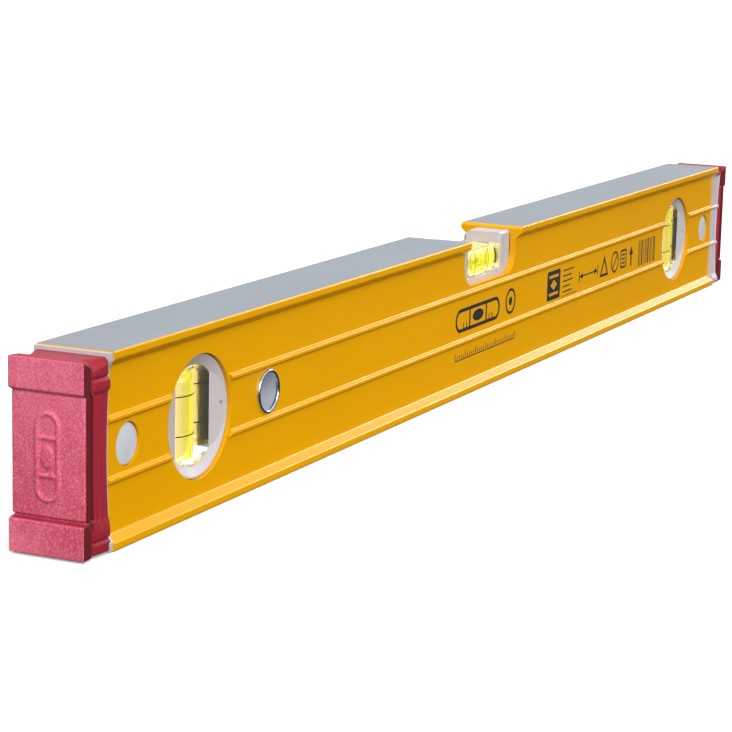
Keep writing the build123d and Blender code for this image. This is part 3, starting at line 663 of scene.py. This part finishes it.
def printed(name, filled, bands, proud, material, both=True):
    """Thin flat marks on the front wall: each outline (x, z) is a plate from under to over its face.

    A filled outline is closed by two flat ends; a band lies between two outlines of equal count. With
    both, the back wall gets the same marks turned half round the upright axis."""
    near, far = -WEB / MM - proud, -WEB / MM + MARK_SUNK
    points, faces, count = [], [], 0

    def lifted(loop, y):
        """The outline's points at this depth."""
        return np.stack([loop[:, 0], np.full(len(loop), y), loop[:, 1]], -1)

    for loop in filled:
        ring = np.arange(len(loop))
        points += [lifted(loop, near), lifted(loop, far)]
        faces += [grid_faces(2, len(loop), False, True) + count,
                  ring[None, ::-1] + count, ring[None] + count + len(loop)]
        count += 2 * len(loop)
    for outer, inner in bands:
        points += [lifted(outer, near), lifted(outer, far), lifted(inner, far), lifted(inner, near)]
        faces.append(grid_faces(4, len(outer), True, True) + count)
        count += 4 * len(outer)
    points = np.concatenate(points) * MM
    if both:
        points = np.concatenate([points, points * (-1, -1, 1)])
        faces = faces + [group + count for group in faces]
    piece(name, points, faces, material, "level_body", 20.0)


def slanted(x, z, length, thick, angle):
    """Outline of a thin bar centred on a point and turned by an angle in degrees."""
    turn = math.radians(angle)
    along = np.array([math.cos(turn), math.sin(turn)]) * length / 2
    aside = np.array([-math.sin(turn), math.cos(turn)]) * thick / 2
    return np.array([(x, z)]) + np.stack([along + aside, aside - along, -along - aside, along - aside])


def side_marks(black, yellow):
    """Plain graphics on the side walls: a vial, a target, a scale, a label, an arrow, signs and bars."""
    line_z = 29.8                              # middle height of the row of signs
    filled, bands = [], []
    # a vial lying down: its outline, two lines, four short ticks and a bubble
    bands.append((oblong(-33.5, 11.0, 24.6, 33.9, 4.6), oblong(-32.1, 9.6, 26.0, 32.5, 3.2)))
    filled += [oblong(x - 0.6, x + 0.6, 25.8, 32.7) for x in (-19.5, -3.0)]
    filled += [oblong(x - 0.35, x + 0.35, 25.8, 28.2) for x in (-25.5, -22.5, 0.0, 3.0)]
    filled.append(round_mark(-11.25, 29.3, 5.4, 2.3))
    # a target: a ring round a dot
    bands.append((round_mark(22.5, line_z, 5.3), round_mark(22.5, line_z, 4.2)))
    filled.append(round_mark(22.5, line_z, 1.8))
    # a scale: 31 ticks on a line, every fifth one longer
    for number, x in enumerate(np.linspace(-33.0, 28.0, 31)):
        tall = 1.5 if number % 5 else 2.6
        filled.append(oblong(x - 0.22, x + 0.22, 14.2, 14.2 + tall))
    filled.append(oblong(-33.2, 28.2, 13.6, 14.0))
    # a dark label and short lines beside it
    filled.append(oblong(63.5, 78.5, 23.5, 36.0, 1.0))
    for row, long in enumerate((13.0, 10.0, 12.0, 8.5, 11.0)):
        z = 34.3 - row * 2.3
        filled.append(oblong(82.0, 82.0 + long, z - 0.28, z + 0.28))
    # a dimension arrow between two stops
    filled += [oblong(103.0, 124.0, 28.7, 29.3), oblong(101.6, 102.3, 26.6, 31.4),
               oblong(124.7, 125.4, 26.6, 31.4)]
    filled += [np.array([(102.5, 29.0), (106.0, 27.6), (106.0, 30.4)]),
               np.array([(124.5, 29.0), (121.0, 30.4), (121.0, 27.6)])]
    # a triangle, a barred ring, a lined square and an up arrow
    wedge = np.array([(128.0, 25.2), (139.0, 25.2), (133.5, 34.6)])
    bands.append((wedge, wedge * 0.62 + wedge.mean(0) * 0.38))
    bands.append((round_mark(147.5, line_z, 4.9), round_mark(147.5, line_z, 4.0)))
    filled.append(slanted(147.5, line_z, 7.6, 0.8, 45.0))
    bands.append((oblong(155.0, 163.0, 25.6, 34.2, 1.4), oblong(155.9, 162.1, 26.5, 33.3, 0.6)))
    filled += [oblong(157.0, 161.0, z - 0.4, z + 0.4) for z in (28.0, 29.9, 31.8)]
    filled += [np.array([(169.5, 34.4), (166.9, 30.6), (172.1, 30.6)]), oblong(168.7, 170.3, 25.4, 30.8)]
    # a thin line under the short ones
    filled.append(oblong(80.5, 99.0, 23.2, 23.5))
    printed("side_marks", filled, bands, MARK_PROUD, black)
    starts = 180.0 + np.array((0, 2.1, 4.0, 6.8, 9.1, 11.2, 12.7, 15.9, 18.0, 20.3, 22.0))
    widths = (0.9, 0.5, 1.3, 0.5, 0.9, 0.5, 1.3, 0.9, 0.5, 0.9, 1.0)
    bars = [oblong(x, x + wide, 23.6, 35.4) for x, wide in zip(starts, widths)]
    printed("front_bars", bars, [], MARK_PROUD, black, False)
    # two bars and a diamond in the coat's colour, on the dark label
    label = [oblong(65.6, 76.4, 25.4, 26.6, 0.3), oblong(65.6, 76.4, 32.9, 34.1, 0.3),
             np.array([(71.0, 32.0), (67.2, 29.8), (71.0, 27.6), (74.8, 29.8)])]
    printed("label_marks", label, [], LABEL_PROUD, yellow)


# ---------------------------------------------------------------- turned metal and plastic

def steel_sleeve(material):
    """Hanging sleeve: a tube with a rolled rim at the front, turned about the bore's axis."""
    bore, outer, rim = 6.2, 6.9, 7.5
    face = -WEB / MM                           # the front wall
    proud = face - RIM_PROUD
    back_end = -face + SLEEVE_BACK
    lip = arc((6.85, proud + 0.62), 0.62, 180, 300, 14)
    fall = arc((6.95, proud + 0.58), 0.54, -70, 20, 10)
    profile = [(bore, back_end), (bore + 0.02, proud + 1.5), *lip, *fall,
               (rim, face - 0.02), (outer, face), (outer, back_end)]
    points, faces = turned(profile, (HANG_X / MM, 0, MID / MM), "Y", True)
    made = piece("steel_sleeve", points * MM, faces, material, "level_body", 40.0)
    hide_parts("hanging_sleeve")


def lock_button(side, wall, material):
    """Lock button: a collar, a round head and a slightly domed face, turned about the hole's axis."""
    node = side + "_" + wall + "_lock_button"
    low, high = (np.array(corner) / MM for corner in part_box(node))
    collar, inner = (high[0] - low[0]) / 2, min(abs(low[1]), abs(high[1]))
    radius, head_foot, face = collar - COLLAR_WIDTH, inner + COLLAR_THICK, WEB / MM - BUTTON_SUNK
    bend = arc((radius - BUTTON_EDGE, face - BUTTON_EDGE), BUTTON_EDGE, 0, 90, 8)
    dome = [(place, face + rise) for place, rise in BUTTON_DOME]
    profile = np.array([(0, inner), (collar, inner), (collar, head_foot), (radius, head_foot),
                        *bend, *dome])
    profile[:, 1] *= -1 if wall == "front" else 1
    centre = (BUTTON_X * (-1 if side == "left" else 1), 0, MID / MM)
    points, faces = turned(profile, centre, "Y", False)
    name = side + "_" + wall + "_button"
    made = piece(name, points * MM, faces, material, name, 30.0)
    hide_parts(node)


def spring_arm(side, wall, material):
    """Half of the U-shaped latch spring: a flat strip along a bent path, closed at both ends.

    Station k has an outer and an inner point; the bow lies against the flange and the arm under the
    button. The strip is a fixed shape attached to no body."""
    node = side + "_latch_spring"
    low, high = (np.array(corner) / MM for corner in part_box(node))
    base, tip = (high[0], low[0]) if side == "right" else (low[0], high[0])
    inward = 1 if tip > base else -1
    bow = np.linspace(0, 1, BOW_STEPS, endpoint=False)
    arm = np.linspace(0, 1, ARM_STEPS)
    sign = -1 if wall == "front" else 1

    def strip_edge(inset, level):
        """One long edge of the strip, this far inside its outer face."""
        start, reach = base + inward * inset, high[1] - inset
        x = np.concatenate([start + 0 * bow, start + (tip - start) * arm])
        y = np.concatenate([reach * bow, reach + 0 * arm])
        return np.column_stack([x, sign * y, np.full(len(x), level)])

    edges = [strip_edge(inset, level) for inset, level in
             ((0, low[2]), (0, high[2]), (SPRING_THICK, high[2]), (SPRING_THICK, low[2]))]
    points = np.stack(edges, 1).reshape(-1, 3)
    ring = np.arange(4)
    faces = [grid_faces(len(edges[0]), 4, False, True), ring[None, ::-1], ring[None] + len(points) - 4]
    name = side + "_" + wall + "_spring_arm"
    made = piece(name, points * MM, faces, material, None, 30.0)
    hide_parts(node)
    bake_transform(made)


# ---------------------------------------------------------------- vials

def vial_shell(name, outline, rows, centre, direction, node, material):
    """Outer skin of a clear block: outline points (p, q) carried along an axis and closed at both ends.

    Row k sits at height rows[k][0] and is the outline drawn in by rows[k][1]; the end rows shrink to
    a point."""
    outline = np.asarray(outline, dtype=float)
    u, v, w = axes_for(direction)
    reach = np.linalg.norm(outline, axis=1)
    rows = np.asarray(rows, dtype=float)
    flat = outline[None] * (1 - rows[:, 1:] / reach[None])[..., None]
    grid = flat[..., :1] * u + flat[..., 1:] * v + rows[:, None, :1] * w + np.asarray(centre)
    points, faces = capped(grid, np.asarray(centre) + rows[[0, -1], :1] * w)
    made = piece(name, points * MM, faces, material, "level_body", 20.0)
    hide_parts(node)


def liquid_barrel(name, half_length, centre, direction, node, material):
    """Liquid filling a bore: a barrel whose radius falls by a parabola towards its rounded ends."""
    along = np.linspace(-1, 1, BARREL_STEPS)
    body = np.stack([BORE_HALF - BORE_FALL * along ** 2, along * (half_length - 0.5)], -1)
    end = [(4.6, half_length - 0.12), (3.4, half_length), (0, half_length)]
    start = [(radius, -place) for radius, place in reversed(end)]
    points, faces = turned([*start, *body, *end], centre, direction, False)
    made = piece(name, points * MM, faces, material, "level_body", 50.0)
    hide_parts(node)


def clear_vials(clear, liquid):
    """Each vial as an outer skin of acrylic with a barrel of liquid in it."""
    low, high = (np.array(corner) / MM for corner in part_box("left_vial_block"))
    half, crest, deep = (high[0] - low[0]) / 2, (high[2] - low[2]) / 2, high[1]
    turn = math.asin(half / crest)
    top = np.linspace(turn, -turn, CREST_STEPS)
    upper = np.stack([crest * np.cos(top), crest * np.sin(top)], -1)
    outline = np.concatenate([upper, -upper])
    near = [(deep - SHELL_ROUND, 0.0), (deep - 0.1, 0.12), (deep, SHELL_ROUND)]
    rows = [(-place, draw) for place, draw in reversed(near)] + near
    for side, place in (("left", -PLUMB_X / MM), ("right", PLUMB_X / MM)):
        centre = (place, 0.0, MID / MM)
        vial_shell(side + "_clear_block", outline, rows, centre, "Y", side + "_vial_block", clear)
        liquid_barrel(side + "_liquid", PLUMB_LIQUID, centre, "Z", side + "_vial_fluid", liquid)
    low, high = (np.array(corner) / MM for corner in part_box("centre_vial_block"))
    tall = (high[2] - low[2]) / 2
    centre = (0.0, 0.0, (high[2] + low[2]) / 2)
    outline = oblong(-high[1], high[1], -tall, tall, SHELL_ROUND)
    near = [(high[0] - SHELL_ROUND, 0.0), (high[0], SHELL_ROUND)]
    rows = [(-place, draw) for place, draw in reversed(near)] + near
    vial_shell("centre_clear_block", outline, rows, centre, "X", "centre_vial_block", clear)
    liquid_barrel("centre_liquid", CENTRE_LIQUID, centre, "X", "centre_vial_fluid", liquid)


# ---------------------------------------------------------------- staging

def studio_floor():
    """Floor plane at z = 0, far larger than the view."""
    reach = 20.0
    mesh = bpy.data.meshes.new("studio_floor")
    mesh.from_pydata([(-reach, -reach, 0), (reach, -reach, 0), (reach, reach, 0), (-reach, reach, 0)],
                     [], [(0, 1, 2, 3)])
    floor = bpy.data.objects.new("studio_floor", mesh)
    bpy.context.scene.collection.objects.link(floor)
    floor.data.materials.append(pale_floor())
    floor.visible_diffuse = False
    floor.visible_glossy = False
    floor.visible_transmission = False


def studio_world():
    """Soft surroundings that grow brighter from below the horizon to overhead."""
    world = bpy.data.worlds.new("studio")
    bpy.context.scene.world = world
    world.use_nodes = True
    tree = world.node_tree
    place = tree.nodes.new("ShaderNodeTexCoord")
    split = tree.nodes.new("ShaderNodeSeparateXYZ")
    ramp = tree.nodes.new("ShaderNodeValToRGB")
    lift = tree.nodes.new("ShaderNodeMapRange")
    tree.links.new(place.outputs["Generated"], split.inputs["Vector"])
    tree.links.new(split.outputs["Z"], lift.inputs["Value"])
    lift.inputs["From Min"].default_value = -1.0
    tree.links.new(lift.outputs["Result"], ramp.inputs["Fac"])
    stops = ((0.0, 0.10), (0.38, 0.03), (0.46, 0.05), (0.50, 0.34), (0.56, 0.62), (0.68, 0.85),
             (1.0, 0.75))                      # share of the way from straight down to straight up, grey
    elements = ramp.color_ramp.elements
    elements.remove(elements[1])
    for number, (share, grey) in enumerate(stops):
        stop = elements.new(share) if number else elements[0]
        stop.color = (grey * 0.97, grey * 0.99, grey * 1.03, 1.0)
    tree.links.new(ramp.outputs["Color"], tree.nodes["Background"].inputs["Color"])


def studio_lamp(name, towards, strength, spread):
    """Distant soft lamp; towards points from the object to the lamp."""
    lamp = bpy.data.lights.new(name, "SUN")
    lamp.energy = strength
    lamp.angle = math.radians(spread)
    holder = bpy.data.objects.new(name, lamp)
    bpy.context.scene.collection.objects.link(holder)
    holder.rotation_euler = Vector(towards).to_track_quat("Z", "Y").to_euler()


def studio_camera():
    """Camera given by yaw from +X, pitch below the horizon and roll."""
    yaw, pitch, roll = (math.radians(angle) for angle in (CAMERA_YAW, CAMERA_PITCH, CAMERA_ROLL))
    ahead = Vector((math.cos(yaw) * math.cos(pitch), math.sin(yaw) * math.cos(pitch), -math.sin(pitch)))
    right = Vector((math.sin(yaw), -math.cos(yaw), 0.0))
    up = right.cross(ahead)
    across = right * math.cos(roll) + up * math.sin(roll)
    upright = up * math.cos(roll) - right * math.sin(roll)
    turn = Matrix((across, upright, -ahead)).transposed().to_4x4()
    lens = bpy.data.cameras.new("camera")
    lens.lens = CAMERA_LENS
    lens.sensor_width = 36.0
    lens.clip_start = 0.02
    lens.clip_end = 100.0
    camera = bpy.data.objects.new("camera", lens)
    bpy.context.scene.collection.objects.link(camera)
    camera.matrix_world = Matrix.Translation(CAMERA_PLACE) @ turn
    bpy.context.scene.camera = camera


def finish_nodes():
    """Give each carried-over node its finish."""
    finishes = {"box_profile": coated_profile(), "hanging": plated_steel(),
                "housing": white_plastic(), "core": white_plastic(), "bumper": red_rubber(),
                "block": acrylic(), "fluid": vial_liquid(), "rings": black_ink(),
                "plug": stopper_plastic(), "bubble": air_bubble(), "spring": spring_steel(),
                "button": button_plastic()}
    for name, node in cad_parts.items():
        for key, material in finishes.items():
            if key in name:
                node.data.materials.clear()
                node.data.materials.append(material)
                break
    return finishes


scene = bpy.context.scene
scene.view_settings.view_transform = "Standard"
studio_floor()
studio_world()
studio_lamp("key", (-0.60, -0.62, 0.45), 2.45, 40.0)
studio_lamp("top", (0.25, 0.15, 1.0), 0.7, 70.0)
studio_lamp("glint", (0.90, -0.25, 0.33), 0.6, 14.0)
studio_camera()
finishes = finish_nodes()
rubber_block("left", finishes["bumper"])
rubber_block("right", finishes["bumper"])
side_panel("left", finishes["core"])
side_panel("right", finishes["core"])
side_marks(finishes["rings"], yellow_ink())
steel_sleeve(finishes["hanging"])
for end_name in ("left", "right"):
    for wall_name in ("front", "back"):
        lock_button(end_name, wall_name, finishes["button"])
        spring_arm(end_name, wall_name, finishes["spring"])
clear_vials(finishes["block"], finishes["fluid"])
